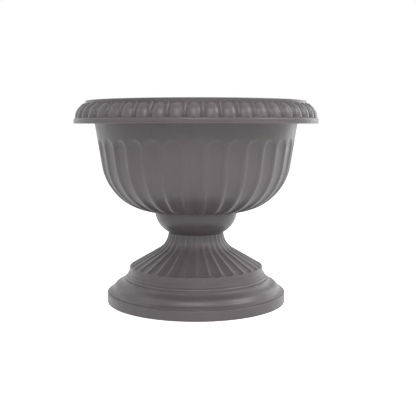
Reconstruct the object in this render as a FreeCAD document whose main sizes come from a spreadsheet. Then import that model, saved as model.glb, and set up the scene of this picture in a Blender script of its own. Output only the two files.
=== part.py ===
import FreeCAD, Part

# Fluted urn planter: a round bowl with a rolled egg-and-dart rim stands on a hollow fluted pedestal.
# The bowl's spigot drops into the pedestal's neck, and a drain plug closes the bowl's sump.
# Frame: +Z is the axis of the urn, the origin is the centre of the foot on the ground, the front faces -Y.
# Lengths are millimetres and angles are degrees.

import os
import re

import Sketcher

SIZES = {
    # Pedestal, from the ground up: (radius, height) pairs of its mouldings.
    "foot_radius": 120.0,
    "foot_band": 13.2,
    "foot_round": 1.6,
    "foot_step": 1.5,
    "foot_step_rise": 1.3,
    "cavetto_radius": 111.0,
    "cavetto_height": 19.6,
    "cavetto_curve": 9.0,
    "shoulder_radius": 104.4,
    "shoulder_height": 24.8,
    "shoulder_curve": 9.5,
    "sweep_radius": 97.0,
    "sweep_height": 29.8,
    "sweep_curve": 13.0,
    "fillet_rise": 1.1,
    "bead_radius": 95.2,
    "bead_rise": 3.4,
    "bead_inset": 2.6,
    "bead_curve": 3.0,
    "upper_bead_radius": 92.2,
    "upper_bead_rise": 3.9,
    "upper_bead_round": 1.0,
    "band_radius": 90.7,
    "band_top": 46.6,
    "band_draft": 1.2,
    "band_round": 1.5,
    "band_curve": 2.0,
    "cone_angle": 59.6,
    "neck_radius": 37.0,
    "neck_curve": 28.7,
    "neck_waist": 94.0,
    "neck_height": 92.5,
    "pedestal_wall": 2.8,
    "socket_wall": 3.3,
    "socket_depth": 8.0,
    "pedestal_turn": 5.2,
    # Bowl, from the spigot up.
    "spigot_clearance": 0.3,
    "spigot_wall": 2.5,
    "spigot_length": 14.0,
    "spigot_lead": 1.0,
    "knop_foot_radius": 36.6,
    "knop_radius": 54.9,
    "knop_height": 118.0,
    "knop_curve": 33.5,
    "sump_floor": 3.2,
    "bowl_floor": 121.4,
    "bowl_curve": 71.6,
    "belly_radius": 125.9,
    "wall_draft": 8.8,
    "bowl_wall": 3.0,
    "rim_height": 266.7,
    "lip_radius": 145.1,
    "lip_foot_angle": 65.9,
    "lip_round": 1.2,
    "mouth_round": 2.4,
    "rim_wall": 2.6,
    "flange_radius": 160.9,
    "flange_height": 237.4,
    "flange_bead": 1.6,
    "flange_groove": 0.6,
    "fascia_radius": 160.7,
    "fascia_round": 2.4,
    "fascia_top": 244.4,
    "ovolo_curve": 19.1,
    "bowl_turn": 21.5,
    # Flutes, eggs and darts.
    "bowl_flutes": 32,
    "bowl_flute_land": 2.4,
    "bowl_flute_depth": 1.5,
    "bowl_flute_top": 219.0,
    "bowl_arch": 11.5,
    "pedestal_flutes": 32,
    "pedestal_flute_land": 2.0,
    "pedestal_flute_depth": 1.1,
    "pedestal_arch": 6.0,
    "pedestal_arch_gap": 0.8,
    "eggs": 48,
    "egg_half_width": 7.6,
    "egg_height": 2.1,
    "dart_half_width": 2.3,
    "dart_height": 1.5,
    # Drain plug.
    "drain_radius": 7.2,
    "plug_clearance": 0.2,
    "plug_head_radius": 11.0,
    "plug_head": 2.4,
    "plug_stem": 6.0,
    "plug_taper": 0.6,
    "plug_grip_height": 8.0,
    "plug_grip_width": 14.0,
    "plug_grip_thickness": 3.0,
    "plug_turn": 30.0,
}

EDGE_PROUD = 0.08    # a cutter's edges stand this far off the face that it cuts
TOOL_BACK = 0.9      # and its back lies this far beyond that face
SECTION_DATUM = 5.0  # a section's sketch has its origin this deep under the face

# Stations of the lofts. A flute has a round end: shares of the way from the end's foot to its tip.
ARCH_SHARES = (0.0, 0.45, 0.8, 0.97)
# The bowl's flutes fade towards the knop: angle round the belly's curve, share of the depth.
BELLY_STATIONS = ((5, 0.3), (14, 0.75), (26, 0.95), (42, 1), (60, 1), (78, 1))
# The pedestal's flutes fade up the neck: share of cone_angle, share of the depth.
CONE_DEPTH = 0.9
NECK_STATIONS = ((1, 0.8), (0.6, 0.62), (0.3, 0.48), (-0.07, 0.36))
# Eggs and darts stand on the fascia's ledge and start just inside it: shares of the way to the lip.
EGG_SHARES = (-0.01, 0.25, 0.5, 0.75, 0.92, 0.985)
# A dart widens upwards: share of the way to the lip, share of the width.
DART_STATIONS = ((-0.01, 0.35), (0.5, 0.68), (0.98, 1))

doc = FreeCAD.newDocument("urn_planter")
sheet = doc.addObject("Spreadsheet::Sheet", "Sizes")
for row, (alias, number) in enumerate(SIZES.items(), start=1):
    sheet.set("A%d" % row, alias)
    sheet.set("B%d" % row, str(number))
    sheet.setAlias("B%d" % row, alias)
doc.recompute()


def bound(text):
    """An expression in the sheet's names, written the way the document resolves it."""
    def prefixed(match):
        word = match.group(0)
        return "Sizes." + word if word in SIZES else word
    return re.sub(r"[a-z][a-z_]*", prefixed, text)


def value(text):
    return float(sheet.evalExpression(bound(text)))


def bind(sketch, constraint, text):
    """Add a constraint and drive it by an expression."""
    index = sketch.addConstraint(constraint)
    sketch.setExpression("Constraints[%d]" % index, bound(text))


def origin_feature(body, role):
    for feature in body.Origin.OriginFeatures:
        if feature.Role == role:
            return feature
    raise ValueError(role)


def new_sketch(body, name, plane):
    sketch = body.newObject("Sketcher::SketchObject", name)
    sketch.AttachmentSupport = (plane, [""])
    sketch.MapMode = "FlatFace"
    return sketch


def arc_between(start, end, radius, side):
    """Anticlockwise arc between start and end. Its centre is left of the way from start to end
    where side is 1, and right of it where side is -1."""
    middle = (start + end) * 0.5
    chord = end - start
    reach = max(radius * radius - chord.Length * chord.Length / 4.0, 0.0) ** 0.5
    across = FreeCAD.Vector(-chord.y, chord.x, 0).normalize()
    bulge = middle + across * side * (reach - radius)
    return Part.Arc(start, bulge, end) if side > 0 else Part.Arc(end, bulge, start)


def outline(body, name, corners):
    """Closed outline of (radius, height) corners in the XZ plane. A corner may add the radius of the
    arc that leads to it and the side of that arc's centre."""
    sketch = new_sketch(body, name, origin_feature(body, "XZ_Plane"))
    points = [FreeCAD.Vector(value(corner[0]), value(corner[1]), 0) for corner in corners]
    count = len(corners)
    for index, corner in enumerate(corners):
        start, end = points[index - 1], points[index]
        if len(corner) == 2:
            sketch.addGeometry(Part.LineSegment(start, end), False)
        else:
            sketch.addGeometry(arc_between(start, end, value(corner[2]), corner[3]), False)
    ends = [(2, 1) if len(corner) > 2 and corner[3] < 0 else (1, 2) for corner in corners]
    for index, corner in enumerate(corners):
        after = (index + 1) % count
        sketch.addConstraint(Sketcher.Constraint(
            "Coincident", index, ends[index][1], after, ends[after][0]))
        spot = points[index]
        bind(sketch, Sketcher.Constraint("DistanceX", -1, 1, index, ends[index][1], spot.x), corner[0])
        bind(sketch, Sketcher.Constraint("DistanceY", -1, 1, index, ends[index][1], spot.y), corner[1])
        if len(corner) > 2:
            bind(sketch, Sketcher.Constraint("Radius", index, value(corner[2])), corner[2])
    return sketch


def revolved(body, name, sketch):
    feature = body.newObject("PartDesign::Revolution", name)
    feature.Profile = sketch
    feature.ReferenceAxis = (sketch, ["V_Axis"])
    feature.Angle = 360
    return feature


def section(body, name, place, half_width, edge, near, far, plane=None):
    """Section of a lengthwise ornament, square to the outline of the face: an arc through near and a
    roof of two lines through far, over one chord at the level edge.
    place is (radius, height, lean), where lean turns the face from flat underneath, 0, to upright, 90."""
    radius, height, lean = place
    base_height = "%s + %s * cos(%s)" % (height, SECTION_DATUM, lean)
    base_radius = "%s - %s * sin(%s)" % (radius, SECTION_DATUM, lean)
    sketch = new_sketch(body, name, plane or origin_feature(body, "XZ_Plane"))
    sketch.AttachmentOffset = FreeCAD.Placement(
        FreeCAD.Vector(0, value(base_height), value(base_radius)),
        FreeCAD.Rotation(FreeCAD.Vector(1, 0, 0), 180 - value(lean)))
    sketch.setExpression("AttachmentOffset.Base.y", bound(base_height))
    sketch.setExpression("AttachmentOffset.Base.z", bound(base_radius))
    sketch.setExpression("AttachmentOffset.Rotation.Angle", bound("180 - %s" % lean))
    edge, near, far = ["%s + %s" % (SECTION_DATUM, level) for level in (edge, near, far)]
    left = FreeCAD.Vector(-value(half_width), value(edge), 0)
    right = FreeCAD.Vector(value(half_width), value(edge), 0)
    apex = FreeCAD.Vector(0, value(far), 0)
    hollow = value(near) < value(edge)
    first, last = (left, right) if hollow else (right, left)
    sketch.addGeometry(Part.Arc(first, FreeCAD.Vector(0, value(near), 0), last), False)
    sketch.addGeometry(Part.LineSegment(right, apex), False)
    sketch.addGeometry(Part.LineSegment(apex, left), False)
    arc_left, arc_right = (1, 2) if hollow else (2, 1)
    sketch.addConstraint(Sketcher.Constraint("Coincident", 0, arc_right, 1, 1))
    sketch.addConstraint(Sketcher.Constraint("Coincident", 1, 2, 2, 1))
    sketch.addConstraint(Sketcher.Constraint("Coincident", 2, 2, 0, arc_left))
    sketch.addConstraint(Sketcher.Constraint("PointOnObject", 1, 2, -2))
    bind(sketch, Sketcher.Constraint("DistanceX", 2, 2, -1, 1, right.x), half_width)
    bind(sketch, Sketcher.Constraint("DistanceX", -1, 1, 1, 1, right.x), half_width)
    bind(sketch, Sketcher.Constraint("DistanceY", -1, 1, 2, 2, right.y), edge)
    bind(sketch, Sketcher.Constraint("DistanceY", -1, 1, 1, 1, right.y), edge)
    bind(sketch, Sketcher.Constraint("DistanceY", -1, 1, 1, 2, apex.y), far)
    sagitta = "abs(%s - (%s))" % (near, edge)
    radius_text = "((%s)^2 + (%s)^2) / (2 * %s)" % (half_width, sagitta, sagitta)
    bind(sketch, Sketcher.Constraint("Radius", 0, value(radius_text)), radius_text)
    return sketch


def lofted(body, kind, name, sections):
    feature = body.newObject(kind, name)
    feature.Profile = sections[0]
    feature.Sections = sections[1:]
    feature.Ruled = False
    feature.Refine = False
    return feature


def repeated(body, name, features, count):
    """Repeat features round the axis of the urn."""
    pattern = body.newObject("PartDesign::PolarPattern", name)
    pattern.Originals = features
    pattern.Axis = (origin_feature(body, "Z_Axis"), [""])
    pattern.Angle = 360
    pattern.setExpression("Occurrences", bound(count))
    pattern.Refine = False
    body.Tip = pattern
    return pattern


def new_body(name):
    body = doc.addObject("PartDesign::Body", name)
    body.Label = name
    return body


def cutter_section(body, name, place, half_width, depth):
    """Section of a groove that is half_width wide each way and depth deep on a face at place."""
    radius, _, lean = place
    fall = "sin(%s) * (%s)^2 / (2 * (%s))" % (lean, half_width, radius)
    edge = "%s - %s" % (EDGE_PROUD, fall)
    return section(body, name, place, half_width, edge, "-(%s)" % depth, str(TOOL_BACK))


def raised_section(body, name, place, half_width, height, plane=None):
    """Section of a rib that stands height proud of a face at place."""
    radius, _, lean = place
    fall = "sin(%s) * (%s)^2 / (2 * (%s))" % (lean, half_width, radius)
    edge = "-%s - %s" % (EDGE_PROUD, fall)
    return section(body, name, place, half_width, edge, height, "-%s - %s" % (TOOL_BACK, fall), plane)


# ---------------------------------------------------------------- pedestal

NECK_CENTER = "(neck_radius + neck_curve)"
# The cone touches the neck's hollow curve where both lean by cone_angle.
CONE_END_RADIUS = "(%s - neck_curve * cos(cone_angle))" % NECK_CENTER
CONE_END_HEIGHT = "(neck_waist - neck_curve * sin(cone_angle))"
CONE_FOOT_RADIUS = "(band_radius - band_draft - band_round)"
CONE_FOOT_HEIGHT = ("(%s - (%s - %s) / tan(cone_angle))"
                    % (CONE_END_HEIGHT, CONE_FOOT_RADIUS, CONE_END_RADIUS))
BEAD_FOOT = "(sweep_height + fillet_rise)"
BEAD_TOP = "(%s + bead_rise)" % BEAD_FOOT
BAND_FOOT = "(%s + upper_bead_rise)" % BEAD_TOP
SOCKET_RADIUS = "(neck_radius - socket_wall)"


def make_pedestal():
    body = new_body("pedestal")
    inner_curve = "(neck_curve + pedestal_wall)"
    ledge = "(neck_height - socket_depth)"
    ledge_radius = "(%s - sqrt(%s^2 - (neck_waist - %s)^2))" % (NECK_CENTER, inner_curve, ledge)
    inner_end_radius = "(%s - %s * cos(cone_angle))" % (NECK_CENTER, inner_curve)
    inner_end_height = "(neck_waist - %s * sin(cone_angle))" % inner_curve
    band_inside = "(band_radius - band_draft - pedestal_wall)"
    inner_foot_height = ("(%s - (%s - %s) / tan(cone_angle))"
                         % (inner_end_height, band_inside, inner_end_radius))
    corners = [
        ("foot_radius", "0"),
        ("foot_radius", "foot_band - foot_round"),
        ("foot_radius - foot_round", "foot_band", "foot_round", 1),
        ("foot_radius - foot_round - foot_step", "foot_band"),
        ("foot_radius - foot_round - foot_step", "foot_band + foot_step_rise"),
        ("cavetto_radius", "cavetto_height", "cavetto_curve", -1),
        ("shoulder_radius", "shoulder_height", "shoulder_curve", 1),
        ("sweep_radius", "sweep_height", "sweep_curve", -1),
        ("sweep_radius", BEAD_FOOT),
        ("bead_radius", BEAD_FOOT),
        ("bead_radius - bead_inset", BEAD_TOP, "bead_curve", 1),
        ("upper_bead_radius", BEAD_TOP),
        ("upper_bead_radius", "%s - upper_bead_round" % BAND_FOOT),
        ("upper_bead_radius - upper_bead_round", BAND_FOOT, "upper_bead_round", 1),
        ("band_radius", BAND_FOOT),
        ("band_radius - band_draft", "band_top"),
        (CONE_FOOT_RADIUS, CONE_FOOT_HEIGHT, "band_curve", 1),
        (CONE_END_RADIUS, CONE_END_HEIGHT),
        ("%s - sqrt(neck_curve^2 - (neck_waist - neck_height)^2)" % NECK_CENTER, "neck_height",
         "neck_curve", -1),
        (SOCKET_RADIUS, "neck_height"),
        (SOCKET_RADIUS, ledge),
        (ledge_radius, ledge),
        (inner_end_radius, inner_end_height, inner_curve, 1),
        (band_inside, inner_foot_height),
        ("band_radius - pedestal_wall", "%s - pedestal_wall" % BAND_FOOT),
        ("sweep_radius - pedestal_wall", "sweep_height - pedestal_wall"),
        ("shoulder_radius - pedestal_wall", "shoulder_height - pedestal_wall"),
        ("cavetto_radius - pedestal_wall", "cavetto_height - pedestal_wall"),
        ("foot_radius - pedestal_wall", "foot_band - pedestal_wall"),
        ("foot_radius - pedestal_wall", "0"),
    ]
    revolved(body, "pedestal_shell", outline(body, "pedestal_outline", corners))

    # Flutes run from round ends above the band up the cone and the neck's hollow curve.
    lean = "(90 + cone_angle)"
    sections = []

    def add(place, depth, narrowing="1"):
        half_width = "(%s * pi / pedestal_flutes - pedestal_flute_land / 2) * %s" % (
            place[0], narrowing)
        name = "pedestal_flute_%02d" % len(sections)
        sections.append(cutter_section(body, name, place, half_width, depth))

    for share in reversed(ARCH_SHARES):
        run = "(pedestal_arch * (1 - %s) + pedestal_arch_gap)" % share
        place = ("(%s - %s * sin(cone_angle))" % (CONE_FOOT_RADIUS, run),
                 "(%s + %s * cos(cone_angle))" % (CONE_FOOT_HEIGHT, run), lean)
        add(place, "pedestal_flute_depth * %s" % (1 - share * share), str((1 - share * share) ** 0.5))
    middle = ("((%s + %s) / 2)" % (CONE_FOOT_RADIUS, CONE_END_RADIUS),
              "((%s + %s) / 2)" % (CONE_FOOT_HEIGHT, CONE_END_HEIGHT), lean)
    add(middle, "pedestal_flute_depth * %s" % CONE_DEPTH)
    for turn, share in NECK_STATIONS:
        angle = "(cone_angle * (%s))" % turn
        place = ("(%s - neck_curve * cos(%s))" % (NECK_CENTER, angle),
                 "(neck_waist - neck_curve * sin(%s))" % angle, "(90 + %s)" % angle)
        add(place, "pedestal_flute_depth * %s" % share)
    flute = lofted(body, "PartDesign::SubtractiveLoft", "pedestal_flute", sections)
    repeated(body, "pedestal_flutes", [flute], "pedestal_flutes")
    return body


# ---------------------------------------------------------------- bowl

CURVE_CENTER = "(belly_radius - bowl_curve)"
CURVE_HEIGHT = "(bowl_floor + bowl_curve)"
WALL_FOOT_RADIUS = "(%s + bowl_curve * cos(wall_draft))" % CURVE_CENTER
WALL_FOOT_HEIGHT = "(%s - bowl_curve * sin(wall_draft))" % CURVE_HEIGHT
INNER_CURVE = "(bowl_curve - bowl_wall)"
SPIGOT_RADIUS = "(%s - spigot_clearance)" % SOCKET_RADIUS
SUMP_FLOOR = "(neck_height + sump_floor)"
# The lip's face stands on the ovolo's curve at lip_foot_angle.
OVOLO_CENTER = "(lip_radius - ovolo_curve * cos(lip_foot_angle))"


def wall_radius(height):
    """Outer radius of the leaning wall above the bowl's round belly."""
    return "(%s + (%s - %s) * tan(wall_draft))" % (WALL_FOOT_RADIUS, height, WALL_FOOT_HEIGHT)


def ovolo_point(curve, angle):
    """A (radius, height) on a curve of the ovolo moulding, angle up from level."""
    return ("(%s + %s * cos(%s))" % (OVOLO_CENTER, curve, angle),
            "(fascia_top + %s * sin(%s))" % (curve, angle))


def knop_center():
    """Centre of the arc that runs up the knop."""
    rise = "(knop_height - neck_height)"
    spread = "(knop_radius - knop_foot_radius)"
    chord = "sqrt(%s^2 + %s^2)" % (rise, spread)
    reach = "sqrt(knop_curve^2 - (%s)^2 / 4)" % chord
    radius = "((knop_radius + knop_foot_radius) / 2 - %s * %s / %s)" % (reach, rise, chord)
    height = "((knop_height + neck_height) / 2 + %s * %s / %s)" % (reach, spread, chord)
    return radius, height


def make_bowl():
    body = new_body("bowl")
    knop_radius, knop_height = knop_center()
    knop_inside = "(knop_curve - bowl_wall)"
    sump_radius = "(%s + sqrt(%s^2 - (%s - %s)^2))" % (knop_radius, knop_inside, knop_height, SUMP_FLOOR)
    sump_top = "(%s + sqrt(%s^2 - (%s - knop_height)^2))" % (knop_radius, knop_inside, knop_height)
    mouth_radius = ("(%s - bowl_wall / cos(wall_draft))"
                    % wall_radius("(rim_height - mouth_round)"))
    ceiling = "(rim_height - rim_wall)"
    lip_foot = ovolo_point("ovolo_curve", "lip_foot_angle")
    skirt_curve = "(ovolo_curve - rim_wall)"
    skirt_top = ("fascia_top + sqrt(%s^2 - (lip_radius - rim_wall - %s)^2)"
                 % (skirt_curve, OVOLO_CENTER))
    corners = [
        ("%s - spigot_wall" % SPIGOT_RADIUS, "neck_height - spigot_length"),
        ("%s - spigot_lead" % SPIGOT_RADIUS, "neck_height - spigot_length"),
        (SPIGOT_RADIUS, "neck_height - spigot_length + 2 * spigot_lead"),
        (SPIGOT_RADIUS, "neck_height"),
        ("knop_foot_radius", "neck_height"),
        ("knop_radius", "knop_height", "knop_curve", 1),
        ("knop_radius", "%s - sqrt(bowl_curve^2 - (knop_radius - %s)^2)" % (CURVE_HEIGHT, CURVE_CENTER)),
        (WALL_FOOT_RADIUS, WALL_FOOT_HEIGHT, "bowl_curve", 1),
        (wall_radius(ceiling), ceiling),
        ("lip_radius - rim_wall", ceiling),
        ("lip_radius - rim_wall", skirt_top),
        ("%s + %s" % (OVOLO_CENTER, skirt_curve), "fascia_top", skirt_curve, -1),
        ("flange_radius - rim_wall", "flange_height"),
        ("flange_radius", "flange_height"),
        ("flange_radius", "flange_height + flange_bead"),
        ("fascia_radius - flange_groove", "flange_height + flange_bead + flange_groove"),
        ("fascia_radius", "flange_height + flange_bead + 2 * flange_groove"),
        ("fascia_radius", "fascia_top - fascia_round"),
        ("fascia_radius - fascia_round", "fascia_top", "fascia_round", 1),
        ("%s + ovolo_curve" % OVOLO_CENTER, "fascia_top"),
        (lip_foot[0], lip_foot[1], "ovolo_curve", 1),
        ("lip_radius", "rim_height - lip_round"),
        ("lip_radius - lip_round", "rim_height", "lip_round", 1),
        ("%s + mouth_round" % mouth_radius, "rim_height"),
        (mouth_radius, "rim_height - mouth_round", "mouth_round", 1),
        ("%s - bowl_wall * cos(wall_draft)" % WALL_FOOT_RADIUS,
         "%s + bowl_wall * sin(wall_draft)" % WALL_FOOT_HEIGHT),
        (CURVE_CENTER, "bowl_floor + bowl_wall", INNER_CURVE, -1),
        (sump_top, "bowl_floor + bowl_wall"),
        (sump_top, "knop_height"),
        (sump_radius, SUMP_FLOOR, knop_inside, -1),
        ("drain_radius", SUMP_FLOOR),
        ("drain_radius", "neck_height"),
        ("%s - spigot_wall" % SPIGOT_RADIUS, "neck_height"),
    ]
    revolved(body, "bowl_shell", outline(body, "bowl_outline", corners))

    sections = []

    def add_flute(place, depth, narrowing="1"):
        half_width = "(%s * pi / bowl_flutes - bowl_flute_land / 2) * %s" % (place[0], narrowing)
        name = "bowl_flute_%02d" % len(sections)
        sections.append(cutter_section(body, name, place, half_width, depth))

    for angle, share in BELLY_STATIONS:
        place = ("(%s + bowl_curve * sin(%s))" % (CURVE_CENTER, angle),
                 "(%s - bowl_curve * cos(%s))" % (CURVE_HEIGHT, angle), str(angle))
        add_flute(place, "bowl_flute_depth * %s" % share)
    lean = "(90 - wall_draft)"
    middle = "((%s + bowl_flute_top - bowl_arch) / 2)" % WALL_FOOT_HEIGHT
    add_flute((wall_radius(middle), middle, lean), "bowl_flute_depth")
    for share in ARCH_SHARES:
        height = "(bowl_flute_top - bowl_arch * (1 - %s))" % share
        add_flute((wall_radius(height), height, lean),
                  "bowl_flute_depth * %s" % (1 - share * share), str((1 - share * share) ** 0.5))
    flute = lofted(body, "PartDesign::SubtractiveLoft", "bowl_flute", sections)
    repeated(body, "bowl_flutes", [flute], "bowl_flutes")

    sections = []
    for share in EGG_SHARES:
        angle = "(lip_foot_angle * (%s))" % share
        place = ovolo_point("ovolo_curve", angle) + ("(90 + %s)" % angle,)
        half_width = "egg_half_width * %s" % round((1 - share ** 4) ** 0.5, 4)
        height = "egg_height * %s" % round((1 - share ** 6) ** 0.5, 4)
        sections.append(raised_section(body, "egg_%02d" % len(sections), place, half_width, height))
    egg = lofted(body, "PartDesign::AdditiveLoft", "egg", sections)
    repeated(body, "eggs", [egg], "eggs")

    # Darts stand half way between the eggs, on a plane of their own.
    plane = body.newObject("PartDesign::Plane", "dart_plane")
    plane.AttachmentSupport = (origin_feature(body, "XZ_Plane"), [""])
    plane.MapMode = "FlatFace"
    plane.AttachmentOffset = FreeCAD.Placement(
        FreeCAD.Vector(0, 0, 0), FreeCAD.Rotation(FreeCAD.Vector(0, 1, 0), value("180 / eggs")))
    plane.setExpression("AttachmentOffset.Rotation.Angle", bound("180 / eggs"))
    sections = []
    for share, widening in DART_STATIONS:
        angle = "(lip_foot_angle * (%s))" % share
        place = ovolo_point("ovolo_curve", angle) + ("(90 + %s)" % angle,)
        half_width = "dart_half_width * %s" % widening
        sections.append(raised_section(
            body, "dart_%02d" % len(sections), place, half_width, "dart_height", plane))
    dart = lofted(body, "PartDesign::AdditiveLoft", "dart", sections)
    repeated(body, "darts", [dart], "eggs")
    return body


# ---------------------------------------------------------------- drain plug

def make_plug():
    body = new_body("drain_plug")
    stem_radius = "(drain_radius - plug_clearance)"
    stem_foot = "(%s - plug_stem)" % SUMP_FLOOR
    corners = [
        ("0", stem_foot),
        ("%s - plug_taper - plug_taper" % stem_radius, stem_foot),
        ("%s - plug_taper" % stem_radius, "%s + plug_taper" % stem_foot),
        (stem_radius, SUMP_FLOOR),
        ("plug_head_radius", SUMP_FLOOR),
        ("plug_head_radius", "%s + plug_head * 0.5" % SUMP_FLOOR),
        ("plug_head_radius - plug_head * 0.5", "%s + plug_head" % SUMP_FLOOR, "plug_head * 0.5", 1),
        ("0", "%s + plug_head" % SUMP_FLOOR),
    ]
    revolved(body, "plug_head_and_stem", outline(body, "plug_outline", corners))

    # A flat grip with a round top stands on the head, drawn on the XZ plane and padded both ways.
    sketch = new_sketch(body, "plug_grip_outline", origin_feature(body, "XZ_Plane"))
    half = value("plug_grip_width / 2")
    low = value("%s + plug_head * 0.5" % SUMP_FLOOR)
    high = value("%s + plug_grip_height" % SUMP_FLOOR)
    spots = [(-half, low), (half, low), (half, high), (-half, high)]
    points = [FreeCAD.Vector(x, z, 0) for x, z in spots]
    for index, point in enumerate(points):
        sketch.addGeometry(Part.LineSegment(point, points[(index + 1) % 4]), False)
    for index in range(4):
        sketch.addConstraint(Sketcher.Constraint("Coincident", index, 2, (index + 1) % 4, 1))
    for index, level in ((0, "%s + plug_head * 0.5" % SUMP_FLOOR), (2, "%s + plug_grip_height" % SUMP_FLOOR)):
        sketch.addConstraint(Sketcher.Constraint("Horizontal", index))
        bind(sketch, Sketcher.Constraint("DistanceY", -1, 1, index, 1, value(level)), level)
    sketch.addConstraint(Sketcher.Constraint("Vertical", 1))
    sketch.addConstraint(Sketcher.Constraint("Vertical", 3))
    bind(sketch, Sketcher.Constraint("DistanceX", -1, 1, 0, 2, half), "plug_grip_width / 2")
    bind(sketch, Sketcher.Constraint("DistanceX", 0, 1, -1, 1, half), "plug_grip_width / 2")
    grip = body.newObject("PartDesign::Pad", "plug_grip")
    grip.Profile = sketch
    grip.Midplane = True
    grip.setExpression("Length", bound("plug_grip_thickness"))
    doc.recompute()
    top = value("%s + plug_grip_height" % SUMP_FLOOR)
    edges = ["Edge%d" % number for number, edge in enumerate(grip.Shape.Edges, start=1)
             if abs(edge.BoundBox.ZMin - top) < 0.01 and edge.BoundBox.XLength < 0.01]
    fillet = body.newObject("PartDesign::Fillet", "plug_grip_round")
    fillet.Base = (grip, edges)
    fillet.setExpression("Radius", bound("plug_grip_width * 0.3"))
    body.Tip = fillet
    return body


# ---------------------------------------------------------------- build, test and write

def turned(body, angle):
    """Turn a body about the axis of the urn, as it stands when it is put together."""
    body.Placement = FreeCAD.Placement(
        FreeCAD.Vector(0, 0, 0), FreeCAD.Rotation(FreeCAD.Vector(0, 0, 1), value(angle)))
    body.setExpression("Placement.Rotation.Angle", bound(angle))
    return body


bodies = [
    turned(make_pedestal(), "pedestal_turn"),
    turned(make_bowl(), "bowl_turn"),
    turned(make_plug(), "plug_turn"),
]
doc.recompute()

for feature in doc.Objects:
    if "Invalid" in feature.State or "Error" in feature.State:
        raise RuntimeError("%s: %s" % (feature.Name, feature.getStatusString()))
for cut, base in (("pedestal_flutes", "pedestal_shell"), ("bowl_flutes", "bowl_shell")):
    if doc.getObject(cut).Shape.Volume >= doc.getObject(base).Shape.Volume:
        raise RuntimeError(cut + " cut nothing")
for added, base in (("eggs", "bowl_flutes"), ("darts", "eggs")):
    if doc.getObject(added).Shape.Volume <= doc.getObject(base).Shape.Volume:
        raise RuntimeError(added + " added nothing")

os.makedirs("parts", exist_ok=True)
for body in bodies:
    shape = body.Shape
    if shape.isNull() or not shape.isValid() or len(shape.Solids) != 1:
        raise RuntimeError(body.Label + " is not one valid solid")
    shape.exportStep("parts/%s.step" % body.Label)
    box = shape.optimalBoundingBox()
    print("%s: %d faces, %.0f mm3, x %.2f..%.2f, z %.2f..%.2f"
          % (body.Label, len(shape.Faces), shape.Volume, box.XMin, box.XMax, box.ZMin, box.ZMax))
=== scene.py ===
import math

import bpy
import numpy as np
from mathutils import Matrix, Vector


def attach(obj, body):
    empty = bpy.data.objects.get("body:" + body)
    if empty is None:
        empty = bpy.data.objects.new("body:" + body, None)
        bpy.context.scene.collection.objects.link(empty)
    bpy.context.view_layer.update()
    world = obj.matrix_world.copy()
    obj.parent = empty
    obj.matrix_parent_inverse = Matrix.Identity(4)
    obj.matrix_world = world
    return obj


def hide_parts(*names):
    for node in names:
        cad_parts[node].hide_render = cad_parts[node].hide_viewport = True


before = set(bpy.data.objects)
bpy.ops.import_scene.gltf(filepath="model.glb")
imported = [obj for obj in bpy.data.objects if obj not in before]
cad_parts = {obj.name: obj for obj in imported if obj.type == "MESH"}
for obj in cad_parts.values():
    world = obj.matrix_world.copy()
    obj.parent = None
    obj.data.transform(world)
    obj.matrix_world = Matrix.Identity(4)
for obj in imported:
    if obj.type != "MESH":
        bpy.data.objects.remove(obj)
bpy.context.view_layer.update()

# Fluted urn planter in moulded charcoal plastic. The bowl and the pedestal are built ring by ring
# from the profiles of the CAD solids, with softer edges and fuller flutes, eggs and darts.
# Profiles are (radius, height) in millimetres; azimuth 0 faces -Y and grows towards +X.
MM = 0.001

FLUTES = 32
EGGS = 48
PLAIN = 192                              # points of a ring without ornament
PEDESTAL_AZIMUTH = math.radians(5.2)     # middle of a flute
BOWL_AZIMUTH = math.radians(-1.0)        # middle of a flute and of an egg
PEDESTAL_START = PEDESTAL_AZIMUTH - math.pi / FLUTES
BOWL_START = BOWL_AZIMUTH - math.pi / FLUTES

# Pedestal.
FOOT_RADIUS = 120.0
BAND_TOP = (89.5, 46.6)
BAND_ROUND = 2.0
CONE_FOOT = np.array([88.0, 47.65])
CONE_END = np.array([51.18, 69.25])
CONE_ANGLE = 59.6                        # degrees between the cone and its axis
NECK = np.array([65.7, 94.0])            # centre of the neck's curve
NECK_CURVE = 28.7
PEDESTAL_WALL = 2.8

# Bowl.
KNOP_FOOT = (36.75, 92.7)
KNOP_TOP = (54.9, 118.0)
BELLY = np.array([54.3, 193.0])          # centre of the belly's curve
BELLY_CURVE = 71.6
BOWL_WALL = 3.0
WALL_FOOT = np.array([125.057, 182.046])
WALL_LEAN = math.tan(math.radians(8.8))
OVOLO = np.array([137.30, 244.4])        # centre of the ovolo's curve
OVOLO_CURVE = 19.1
OVOLO_END = math.radians(65.9)
RIM_WALL = 2.6
RIM_TOP = 266.7
LIP_RADIUS = 145.1

# Flutes. The land is measured from an edge to the middle of the land beside it, the arch is the
# length of the round end, and the side is the width of the steep side, at most side_share of the
# half width.
PEDESTAL_FLUTE = {"land": 1.0, "depth": 1.5, "arch": 6.2, "side": 2.6, "side_share": 0.8}
PEDESTAL_ARCH_FOOT = 4.6                 # up the cone from its foot
BOWL_FLUTE = {"land": 1.5, "depth": 2.3, "arch": 11.2, "side": 4.8, "side_share": 0.75}
BOWL_ARCH_FOOT = 207.5                   # height
FLUTE_COLUMNS = 12                       # points across half a flute
FLUTE_CROWDING = 0.55                    # how much closer they stand at its edge
FLUTE_SOFTNESS = 0.9                     # how far outside its edge a flute's side starts
SIDE_DEPTH = 0.45                        # share of the depth that the sides make
HOLLOW_DEPTH = 0.55                      # share of the depth that the hollow floor makes

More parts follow.
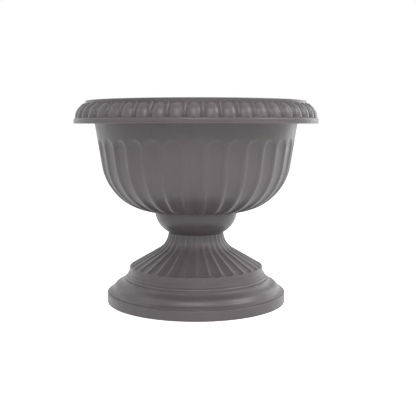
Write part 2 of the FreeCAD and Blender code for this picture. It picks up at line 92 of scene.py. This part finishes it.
# Eggs and darts on the ovolo. Pairs are (size at the ovolo's foot, growth up to the lip).
EGG_HALF_WIDTH = 8.1
EGG_HEIGHT = 2.7
EGG_CREST = 0.25                         # share of the ovolo up to which an egg keeps its height
EGG_OUTLINE = 2.6                        # power of an egg's narrowing towards the lip
EGG_FALL = 0.6                           # power of its fall towards the lip
EGG_DOME = 0.85                          # power of its section
EGG_TIP_COLUMN = 3.2                     # least half width of an egg's columns of points
DART_HALF_WIDTH = (0.7, 1.5)
DART_HEIGHT = (1.5, 0.8)
DART_END = 0.05                          # share of the ovolo over which a dart ends at the lip
EGG_RING_SHIFT = 6                       # columns from an egg ring's start to BOWL_START

# Roundings.
ROUND_STEP = 22                          # degrees that one face of a rounding turns, at most
ROUND_REACH = 0.45                       # share of a straight run that a rounding may take
STRAIGHT = math.radians(87)              # half the angle of a corner that stays as it is

# ---------------------------------------------------------------- profiles


def fillet(before, corner, after, radius):
    """Points that round a corner between two straight runs."""
    before, corner, after = (np.array(p, float) for p in (before, corner, after))
    back, ahead = before - corner, after - corner
    back_length, ahead_length = np.linalg.norm(back), np.linalg.norm(ahead)
    back, ahead = back / back_length, ahead / ahead_length
    half = math.acos(max(-1.0, min(1.0, float(back @ ahead)))) / 2
    if half > STRAIGHT:
        return [corner]
    reach = min(radius / math.tan(half), ROUND_REACH * back_length, ROUND_REACH * ahead_length)
    radius = reach * math.tan(half)
    middle = back + ahead
    center = corner + middle / np.linalg.norm(middle) * (radius / math.sin(half))
    start, end = corner + back * reach - center, corner + ahead * reach - center
    turn = math.pi - 2 * half
    steps = max(2, int(math.ceil(math.degrees(turn) / ROUND_STEP)))
    sign = 1.0 if start[0] * end[1] - start[1] * end[0] > 0 else -1.0
    points = []
    for index in range(steps + 1):
        angle = sign * turn * index / steps
        cos, sin = math.cos(angle), math.sin(angle)
        turned = np.array([start[0] * cos - start[1] * sin, start[0] * sin + start[1] * cos])
        points.append(center + turned)
    return points


def arc(center, radius, first, last, step):
    """Points on an arc from angle first to angle last, in degrees up from level."""
    count = max(2, int(math.ceil(abs(math.radians(last - first)) * radius / step)))
    angles = np.radians(np.linspace(first, last, count + 1))
    return [np.array([center[0] + radius * math.cos(a), center[1] + radius * math.sin(a)])
            for a in angles]


def arc_through(start, end, radius, side, step):
    """Points on an arc from start to end whose centre is left (side 1) or right (-1) of the way."""
    start, end = np.array(start, float), np.array(end, float)
    chord = end - start
    length = np.linalg.norm(chord)
    across = np.array([-chord[1], chord[0]]) / length
    center = (start + end) / 2 + across * side * math.sqrt(radius ** 2 - length ** 2 / 4)
    first = math.degrees(math.atan2(*(start - center)[::-1]))
    last = math.degrees(math.atan2(*(end - center)[::-1]))
    if side > 0 and last < first:
        last += 360
    if side < 0 and last > first:
        last -= 360
    return arc(center, radius, first, last, step)


def path(items, step, hold=0.45):
    """One polyline through corners (radius, height, rounding) and ready-made runs of points.
    Straight runs are divided by step, and held flat over hold next to their roundings."""
    flat = []
    for item in items:
        if isinstance(item, list):
            flat += [(point, 0.0) for point in item]
        else:
            flat.append((np.array(item[:2], float), item[2] if len(item) > 2 else 0.0))
    points = []
    for index, (point, rounding) in enumerate(flat):
        if rounding > 0 and 0 < index < len(flat) - 1:
            points += fillet(flat[index - 1][0], point, flat[index + 1][0], rounding)
        else:
            points.append(point)
    out = [points[0]]
    for point in points[1:]:
        start = out[-1]
        length = float(np.linalg.norm(point - start))
        if length < 1e-4:
            continue
        if length > 2.5 * hold:
            inner = max(1, int(math.ceil((length - 2 * hold) / step)))
            for share in [hold + (length - 2 * hold) * i / inner for i in range(inner + 1)]:
                out.append(start + (point - start) * share / length)
        out.append(point)
    return np.array(out)


def normals(points):
    """Unit normals of a profile that is walked with the solid on its left."""
    forward = np.diff(points, axis=0, append=points[-1:] * 2 - points[-2:-1])
    backward = np.diff(points, axis=0, prepend=points[:1] * 2 - points[1:2])
    forward /= np.linalg.norm(forward, axis=1)[:, None]
    backward /= np.linalg.norm(backward, axis=1)[:, None]
    ahead = forward + backward
    ahead /= np.linalg.norm(ahead, axis=1)[:, None]
    return np.stack([ahead[:, 1], -ahead[:, 0]], axis=1)


def smooth(x):
    x = np.clip(x, 0.0, 1.0)
    return x * x * (3 - 2 * x)


# ---------------------------------------------------------------- rings


class Rings:
    """A mesh made ring by ring. Neighbouring rings may differ in their number of points if the
    numbers have a common divisor, and a face then has several points on one side."""

    def __init__(self):
        self.vertices = []
        self.faces = []
        self.count = 0
        self.first = None
        self.last = None

    def add(self, x, y, z):
        start, size = self.count, len(x)
        self.vertices.append(np.stack([x, y, z], axis=1))
        self.count += size
        if self.last is not None:
            self.join(self.last, (start, size))
        else:
            self.first = (start, size)
        self.last = (start, size)

    def join(self, below, above):
        (a, m), (b, n) = below, above
        groups = math.gcd(m, n)
        p, q = m // groups, n // groups
        for g in range(groups):
            low = [a + (g * p + i) % m for i in range(p + 1)]
            high = [b + (g * q + i) % n for i in range(q + 1)]
            self.faces.append(low + high[::-1])

    def close(self):
        self.join(self.last, self.first)

    def turn(self, points, start):
        """Add a plain ring for every point of a profile."""
        angles = start + np.arange(PLAIN) * 2 * math.pi / PLAIN
        for radius, height in points:
            self.add(radius * np.sin(angles), -radius * np.cos(angles), np.full(PLAIN, height))

    def carve(self, point, normal, azimuths, rise, shift=0):
        """Add a ring whose points stand rise off a profile's point along its normal."""
        radius = point[0] + rise * normal[0]
        x, y = radius * np.sin(azimuths), -radius * np.cos(azimuths)
        z = point[1] + rise * normal[1] + np.zeros(len(azimuths))
        self.add(np.roll(x, shift), np.roll(y, shift), np.roll(z, shift))

    def mesh(self, name):
        mesh = bpy.data.meshes.new(name)
        mesh.from_pydata((np.concatenate(self.vertices) * MM).tolist(), [], self.faces)
        mesh.validate()
        mesh.shade_smooth()
        return mesh


def spread(half, repeats, radius, azimuth):
    """Azimuths and offsets of a ring whose repeats share half, the offsets from a repeat's
    middle to its end."""
    pattern = np.concatenate([-half[:0:-1], half[:-1]]) / radius
    middles = azimuth + np.arange(repeats) * 2 * math.pi / repeats
    return (middles[:, None] + pattern[None, :]).ravel(), np.tile(pattern * radius, repeats)


def flute_half(radius):
    """Offsets across half a flute, from its middle to the middle of the land, closest at its
    edge."""
    share = np.linspace(0, 1, FLUTE_COLUMNS + 1)
    warped = share + FLUTE_CROWDING * np.sin(math.pi * share) / math.pi
    return math.pi * radius / FLUTES * warped


def flute(offsets, radius, past, sizes, fade):
    """Depth of a flute at offsets from its middle. It has an elliptic end and a hollow floor, and
    past is how far beyond the end's foot the row lies."""
    width = math.pi * radius / FLUTES - sizes["land"]
    side = min(sizes["side"], sizes["side_share"] * width)
    q = np.abs(offsets) / width
    s = max(past, 0.0) / sizes["arch"]
    rho = np.hypot(q, s) + 1e-9
    inside = (1 - rho) * rho / (np.hypot(q / width, s / sizes["arch"]) + 1e-9 / width)
    wall = smooth((inside + FLUTE_SOFTNESS) / (side + FLUTE_SOFTNESS))
    hollow = np.clip(1 - rho ** 2, 0, 1)
    return sizes["depth"] * fade * (SIDE_DEPTH * wall + HOLLOW_DEPTH * hollow)


# ---------------------------------------------------------------- pedestal


def make_pedestal():
    rings = Rings()
    rings.turn(path([
        (117.2, 0.0), (FOOT_RADIUS, 0.0, 0.5), (FOOT_RADIUS, 13.2, 1.6),      # foot band
        (116.9, 13.2, 0.3), (116.9, 14.5, 0.3),                               # step
        arc_through((116.7, 14.75), (111.0, 19.6), 9.0, -1, 0.9),             # cavetto
        arc_through((111.0, 19.6), (104.4, 24.8), 9.5, 1, 0.9),               # shoulder
        arc_through((104.4, 24.8), (97.3, 29.65), 13.0, -1, 0.9),             # sweep
        (97.0, 29.8, 0.25), (97.0, 30.9, 0.35), (95.2, 30.9, 0.2),            # fillet
        arc_through((95.2, 31.1), (92.6, 34.3), 3.0, 1, 0.6),                 # bead
        (92.2, 34.5, 0.2), (92.0, 37.9, 1.2), (90.75, 38.1, 0.3),             # upper bead
        (89.5, 46.5),                                                         # band
    ], 4.0), PEDESTAL_START)

    slope = CONE_END - CONE_FOOT
    cone_length = float(np.linalg.norm(slope))
    edge = arc_through(BAND_TOP, tuple(CONE_FOOT), BAND_ROUND, 1, 0.35)
    rows = [(point, float(-np.linalg.norm(point - CONE_FOOT))) for point in edge]
    stations = list(np.arange(0.4, 8.0, 0.5)) + list(np.arange(8.0, cone_length, 1.8))
    rows += [(CONE_FOOT + slope * s / cone_length, s) for s in stations]
    for angle in np.linspace(CONE_ANGLE, 3.0, 26):
        a = math.radians(angle)
        rows.append((NECK - NECK_CURVE * np.array([math.cos(a), math.sin(a)]),
                     cone_length + math.radians(CONE_ANGLE - angle) * NECK_CURVE))
    total = rows[-1][1]
    fade_at, fades = [0, cone_length * 0.5, cone_length, total], [1.0, 0.95, 0.8, 0.5]
    for (point, s), normal in zip(rows, normals(np.array([row[0] for row in rows]))):
        azimuths, offsets = spread(flute_half(point[0]), FLUTES, point[0], PEDESTAL_AZIMUTH)
        depth = flute(offsets, point[0], PEDESTAL_ARCH_FOOT - s, PEDESTAL_FLUTE,
                      np.interp(s, fade_at, fades))
        rings.carve(point, normal, azimuths, -depth)

    inner = NECK_CURVE + PEDESTAL_WALL
    rings.turn(path([
        (36.0, 92.5), (33.7, 92.5, 0.4), (33.7, 84.5), (35.67, 84.5),         # socket
        [NECK - inner * np.array([math.cos(a), math.sin(a)])
         for a in np.radians(np.linspace(17.5, CONE_ANGLE, 14))],
        (86.7, 45.16, 1.0), (87.9, 35.4, 1.0), (94.2, 27.0, 1.0), (101.6, 22.0, 1.0),
        (108.2, 16.8, 1.0), (117.2, 10.4, 1.0), (117.2, 0.4),                 # hollow foot
    ], 5.0), PEDESTAL_START)
    rings.close()
    return rings.mesh("pedestal_shell")


# ---------------------------------------------------------------- bowl


def wall_point(height):
    """Point of the drafted wall's outer face at a height."""
    return WALL_FOOT[0] + (height - WALL_FOOT[1]) * WALL_LEAN, height


def add_knop(rings):
    rings.turn(path([
        (30.9, 78.5, 0.4), (32.4, 78.5), (33.4, 80.5), (33.4, 92.5, 0.2),     # spigot
        (36.6, 92.5, 0.25), arc_through(KNOP_FOOT, KNOP_TOP, 33.5, 1, 1.6),
        (KNOP_TOP[0], 121.38, 0.3), (56.5, 121.5),
    ], 2.5), BOWL_START)


def add_fluted_wall(rings):
    rows = []
    for angle in list(np.arange(3.0, 30.0, 1.5)) + list(np.arange(30.0, 81.2, 1.7)):
        a = math.radians(angle)
        rows.append((BELLY[0] + BELLY_CURVE * math.sin(a), BELLY[1] - BELLY_CURVE * math.cos(a),
                     angle))
    for first, last, step in ((182.05, 205.0, 2.2), (205.0, 221.0, 0.5), (221.0, 244.0, 2.4)):
        rows += [(*wall_point(height), 90.0) for height in np.arange(first, last, step)]
    for (radius, height, angle), normal in zip(rows, normals(np.array([r[:2] for r in rows]))):
        fade = np.interp(angle, [2, 5, 14, 26, 42], [0.0, 0.3, 0.75, 0.95, 1.0])
        azimuths, offsets = spread(flute_half(radius), FLUTES, radius, BOWL_AZIMUTH)
        depth = flute(offsets, radius, height - BOWL_ARCH_FOOT, BOWL_FLUTE, fade)
        rings.carve((radius, height), normal, azimuths, -depth)


def egg_ring(radius, share):
    """Azimuths round the ovolo and the rise of its eggs and darts there. The share is 0 at the
    ovolo's foot and 1 at the lip."""
    pitch = math.pi * radius / EGGS
    width = EGG_HALF_WIDTH * math.sqrt(max(1 - share ** EGG_OUTLINE, 0.0))
    column = max(width, EGG_TIP_COLUMN)
    dart = DART_HALF_WIDTH[0] + DART_HALF_WIDTH[1] * share
    half = np.concatenate([
        column * np.sin(np.linspace(0, math.pi / 2, 9))[:-1],
        np.linspace(column, pitch - dart, 3)[:-1],
        np.linspace(pitch - dart, pitch, 3)])
    azimuths, offsets = spread(half, EGGS, radius, BOWL_AZIMUTH)
    q = np.clip(np.abs(offsets) / max(width, 0.01), 0, 1)
    fall = max(share - EGG_CREST, 0.0) / (1 - EGG_CREST)
    egg = EGG_HEIGHT * max(1 - fall ** 2, 0.0) ** EGG_FALL * (1 - q ** 2) ** EGG_DOME
    crest = np.clip(1 - (pitch - np.abs(offsets)) / dart, 0, 1)
    height = DART_HEIGHT[0] + DART_HEIGHT[1] * share
    return azimuths, np.maximum(egg, height * crest * smooth((1 - share) / DART_END))


def add_rim(rings):
    rings.turn(path([
        wall_point(246.0), (*wall_point(264.1), 1.0), (142.5, 264.1, 1.0),
        arc(OVOLO, OVOLO_CURVE - RIM_WALL, 71.6, 0.0, 2.5),
        (158.3, 237.4, 0.4), (160.2, 237.4),
    ], 4.0), BOWL_START)

    flange = path([
        (160.5, 237.4), (160.9, 237.7, 0.3), (160.9, 239.0, 0.35), (160.25, 239.6, 0.3),
        (160.7, 240.2, 0.35), arc((158.3, 242.0), 2.4, 0, 80, 0.5),
    ], 1.5, 0.3)
    shares = np.concatenate([np.linspace(0.0, 0.84, 22), np.linspace(0.86, 1.0, 9)])
    ovolo = [OVOLO + OVOLO_CURVE * np.array([math.cos(OVOLO_END * f), math.sin(OVOLO_END * f)])
             for f in shares]
    lip = path([(LIP_RADIUS, 262.1), (LIP_RADIUS, RIM_TOP, 1.1), (143.2, RIM_TOP)], 1.5, 0.3)
    out = normals(np.concatenate([flange, ovolo, lip]))
    for point, normal in zip(flange, out):
        rings.carve(point, normal, egg_ring(point[0], 0.0)[0], 0.0, EGG_RING_SHIFT)
    for point, share in zip(ovolo, shares):
        rings.carve(point, (point - OVOLO) / OVOLO_CURVE, *egg_ring(point[0], share),
                    EGG_RING_SHIFT)
    for point, normal in zip(lip, out[-len(lip):]):
        rings.carve(point, normal, egg_ring(point[0], 1.0)[0], 0.0, EGG_RING_SHIFT)


def add_inside(rings):
    rings.turn(path([
        (142.0, RIM_TOP), arc((137.15, 264.3), 2.4, 90, 180, 0.7),
        arc(BELLY, BELLY_CURVE - BOWL_WALL, -8.8, -89.5, 3.5),
        (51.87, 124.4, 0.8), (51.87, KNOP_TOP[1]),
        arc((21.7, 122.5), 30.5, -8.6, -61.4, 2.5),                           # sump
        (7.2, 95.7, 0.4), (7.2, 92.5, 0.3),                                   # drain hole
        (30.9, 92.5, 1.0), (30.9, 79.0),
    ], 5.0), BOWL_START)


def make_bowl():
    rings = Rings()
    add_knop(rings)
    add_fluted_wall(rings)
    add_rim(rings)
    add_inside(rings)
    rings.close()
    return rings.mesh("bowl_shell")


# ---------------------------------------------------------------- materials

NOISE_RANGE = (0.3, 0.7)                 # holds most values of a noise texture
GRAIN_DEPTH = 0.0002


def moulded(name, color, roughness, grain):
    """Moulded plastic or rubber: mottled colour, fine grain, paler worn edges, and painted shade
    that darkens the creases.
    """
    mat = bpy.data.materials.new(name)
    mat.use_nodes = True
    nodes, links = mat.node_tree.nodes, mat.node_tree.links
    bsdf = nodes["Principled BSDF"]
    place = nodes.new("ShaderNodeTexCoord")
    geometry = nodes.new("ShaderNodeNewGeometry")

    def noise(scale, detail):
        node = nodes.new("ShaderNodeTexNoise")
        node.inputs["Scale"].default_value = scale
        node.inputs["Detail"].default_value = detail
        links.new(place.outputs["Object"], node.inputs["Vector"])
        return node.outputs["Fac"]

    def ranged(source, *limits):
        node = nodes.new("ShaderNodeMapRange")
        for socket, limit in zip(("From Min", "From Max", "To Min", "To Max"), limits):
            node.inputs[socket].default_value = limit
        links.new(source, node.inputs["Value"])
        return node.outputs["Result"]

    def product(first, second):
        node = nodes.new("ShaderNodeMath")
        node.operation = "MULTIPLY"
        links.new(first, node.inputs[0])
        links.new(second, node.inputs[1])
        return node.outputs[0]

    mottle = product(ranged(noise(16.0, 3.0), *NOISE_RANGE, 0.95, 1.05),
                     ranged(noise(420.0, 2.0), *NOISE_RANGE, 0.97, 1.03))
    # Paler worn edges where the surface is convex, and painted shade darkening the concave creases.
    wear_and_crease_shade = product(ranged(geometry.outputs["Pointiness"], 0.505, 0.56, 1.0, 1.14),
                   ranged(geometry.outputs["Pointiness"], 0.44, 0.495, 0.86, 1.0))
    tint = nodes.new("ShaderNodeMix")
    tint.data_type = "RGBA"
    tint.blend_type = "MULTIPLY"
    tint.inputs["Factor"].default_value = 1.0
    tint.inputs["A"].default_value = (*color, 1.0)
    links.new(product(mottle, wear_and_crease_shade), tint.inputs["B"])
    links.new(tint.outputs["Result"], bsdf.inputs["Base Color"])
    links.new(ranged(noise(45.0, 3.0), *NOISE_RANGE, roughness - 0.05, roughness + 0.05),
              bsdf.inputs["Roughness"])
    bump = nodes.new("ShaderNodeBump")
    bump.inputs["Strength"].default_value = grain
    bump.inputs["Distance"].default_value = GRAIN_DEPTH
    links.new(noise(1100.0, 2.0), bump.inputs["Height"])
    links.new(bump.outputs["Normal"], bsdf.inputs["Normal"])
    return mat


# ---------------------------------------------------------------- studio

# The photograph's camera: in the urn's middle plane, looking slightly down. It sees the urn's
# axis AXIS_PX from the left edge.
IMAGE_PX = 416
FOCAL_PX = 721.1
AXIS_PX = 196.05
SENSOR_MM = 36.0
CAMERA_PLACE = Vector((0.0, -0.966, 0.2356))
CAMERA_PITCH = math.radians(6.57)

WORLD_STRENGTH = 0.32
FLOOR_HALF = 40.0
FLOOR_DROP = 0.0003
FLOOR_COLOR = (0.94, 0.94, 0.94, 1.0)
FLOOR_GLOW = 0.8

# Name, place, aim, size and radiance of each softbox.
SOFTBOXES = (
    ("softbox_right", (1.35, 1.25, 0.5), (0, 0, 0.15), (1.0, 1.2), 1.6),
    ("softbox_left", (-1.35, 1.25, 0.5), (0, 0, 0.15), (1.0, 1.2), 0.4),
    ("softbox_high_right", (1.4, -0.35, 1.2), (0, 0, 0.15), (0.8, 0.8), 6.0),
    ("softbox_high_left", (-1.4, -0.2, 1.1), (0, 0, 0.15), (0.8, 0.8), 1.2),
    ("softbox_top", (0.0, -1.45, 1.4), (0, 0, 0.1), (1.4, 0.5), 5.0),
    ("softbox_front", (0.0, -1.6, 0.95), (0, 0, 0.2), (0.5, 0.3), 6.0),
)


def place_object(name, data):
    thing = bpy.data.objects.new(name, data)
    bpy.context.scene.collection.objects.link(thing)
    return thing


def make_camera():
    data = bpy.data.cameras.new("camera")
    data.sensor_width = SENSOR_MM
    data.lens = FOCAL_PX * SENSOR_MM / IMAGE_PX
    data.shift_x = (IMAGE_PX / 2 - AXIS_PX) / IMAGE_PX
    data.clip_start = 0.02
    camera = place_object("camera", data)
    camera.location = CAMERA_PLACE
    camera.rotation_euler = (math.pi / 2 - CAMERA_PITCH, 0.0, 0.0)
    bpy.context.scene.camera = camera


def make_softbox(name, place, aim, size, radiance):
    data = bpy.data.lights.new(name, "AREA")
    data.shape = "RECTANGLE"
    data.size, data.size_y = size
    data.energy = math.pi * radiance * size[0] * size[1]
    lamp = place_object(name, data)
    lamp.location = place
    lamp.rotation_euler = (Vector(aim) - Vector(place)).to_track_quat("-Z", "Y").to_euler()
    lamp.visible_camera = False


def seen_rays(nodes, links):
    """1 for the rays that show the white surroundings: camera, glossy and transmitted rays."""
    light_path = nodes.new("ShaderNodeLightPath")
    found = light_path.outputs["Is Camera Ray"]
    for kind in ("Is Glossy Ray", "Is Transmission Ray"):
        larger = nodes.new("ShaderNodeMath")
        larger.operation = "MAXIMUM"
        links.new(found, larger.inputs[0])
        links.new(light_path.outputs[kind], larger.inputs[1])
        found = larger.outputs[0]
    return found


def make_world():
    world = bpy.data.worlds.new("studio")
    world.use_nodes = True
    nodes, links = world.node_tree.nodes, world.node_tree.links
    nodes.clear()
    out = nodes.new("ShaderNodeOutputWorld")
    mix = nodes.new("ShaderNodeMixShader")
    links.new(seen_rays(nodes, links), mix.inputs["Fac"])
    for socket, strength in ((1, WORLD_STRENGTH), (2, 1.0)):
        tent = nodes.new("ShaderNodeBackground")
        tent.inputs["Color"].default_value = (1.0, 1.0, 1.0, 1.0)
        tent.inputs["Strength"].default_value = strength
        links.new(tent.outputs[0], mix.inputs[socket])
    links.new(mix.outputs[0], out.inputs["Surface"])
    bpy.context.scene.world = world


def make_floor():
    s = FLOOR_HALF
    mesh = bpy.data.meshes.new("floor")
    mesh.from_pydata([(-s, -s, 0), (s, -s, 0), (s, s, 0), (-s, s, 0)], [], [(0, 1, 2, 3)])
    floor = place_object("floor", mesh)
    floor.location.z = -FLOOR_DROP
    mat = bpy.data.materials.new("floor_white")
    mat.use_nodes = True
    nodes, links = mat.node_tree.nodes, mat.node_tree.links
    nodes.clear()
    out = nodes.new("ShaderNodeOutputMaterial")
    add = nodes.new("ShaderNodeAddShader")
    diffuse = nodes.new("ShaderNodeBsdfDiffuse")
    glow = nodes.new("ShaderNodeEmission")
    scale = nodes.new("ShaderNodeMath")
    scale.operation = "MULTIPLY"
    scale.inputs[1].default_value = FLOOR_GLOW
    diffuse.inputs["Color"].default_value = FLOOR_COLOR
    links.new(seen_rays(nodes, links), scale.inputs[0])
    links.new(scale.outputs[0], glow.inputs["Strength"])
    links.new(diffuse.outputs[0], add.inputs[0])
    links.new(glow.outputs[0], add.inputs[1])
    links.new(add.outputs[0], out.inputs["Surface"])
    mesh.materials.append(mat)


# ---------------------------------------------------------------- assembly

make_camera()
bpy.context.scene.view_settings.view_transform = "Standard"

charcoal = moulded("charcoal_plastic", (0.109, 0.097, 0.0995), 0.38, 0.25)
rubber = moulded("black_rubber", (0.04, 0.04, 0.042), 0.6, 0.4)

for maker, node, body in ((make_pedestal, "pedestal", "pedestal_body"),
                          (make_bowl, "bowl", "bowl_body")):
    mesh = maker()
    mesh.materials.append(charcoal)
    piece = place_object(node + "_moulding", mesh)
    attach(piece, body)
    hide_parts(node)

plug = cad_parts["drain_plug"]
plug.data.materials.clear()
plug.data.materials.append(rubber)

make_world()
make_floor()
for softbox in SOFTBOXES:
    make_softbox(*softbox)
